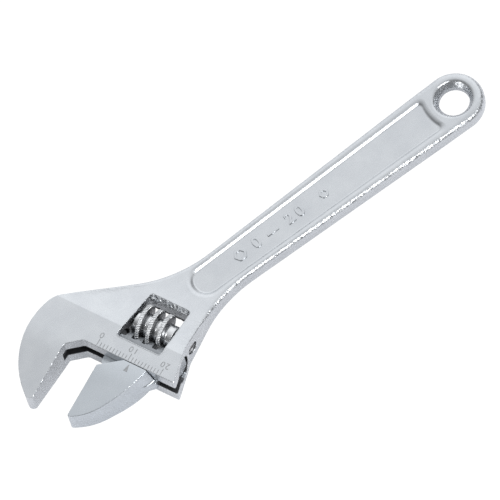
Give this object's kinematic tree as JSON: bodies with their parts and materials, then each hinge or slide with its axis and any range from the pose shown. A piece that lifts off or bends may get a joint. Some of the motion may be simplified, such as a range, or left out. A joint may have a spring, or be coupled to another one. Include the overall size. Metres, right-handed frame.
{
  "type": "adjustable wrench",
  "caption": "Adjustable wrench with an angled head, a fixed jaw, a sliding jaw driven by a knurled worm, a recessed handle and a hang hole.",
  "frame": {"origin": "centre of the hang hole, half way through the handle's thickness", "axes": "+X from the hang hole to the head, +Y to the movable jaw's side, +Z out of the marked face along the hang hole; the jaws point 22.5 degrees from +X towards +Y"},
  "size_m": [0.1502, 0.0423, 0.0116],
  "materials": {
    "forged_chrome": "satin chrome plate over a forged surface, ground flat on the head",
    "ground_chrome": "satin chrome plate over ground faces",
    "knurl_chrome": "bright plate with serrated crests",
    "pin_steel": "turned, bright",
    "spring_steel": "drawn wire, dark"
  },
  "bodies": {
    "body": {"handle_body": "forged_chrome", "knurl_pin": "pin_steel", "spring": "spring_steel"},
    "jaw": {"movable_jaw": "ground_chrome"},
    "knurl": {"knurl": "knurl_chrome"}
  },
  "joints": [
    {"name": "jaw_slide", "type": "slide", "parent": "body", "child": "jaw", "axis": [-0.3827, 0.9239, 0], "range_m": [-0.011, 0.009]},
    {"name": "knurl_spin", "type": "hinge", "parent": "body", "child": "knurl", "pos_m": [0.10256, 0.00222, 0], "axis": [-0.3827, 0.9239, 0], "range_deg": [-996.93, 1218.47]}
  ],
  "couplings": [
    {"joint": "knurl_spin", "follows": "jaw_slide", "rad_per_m": -1933.3}
  ]
}
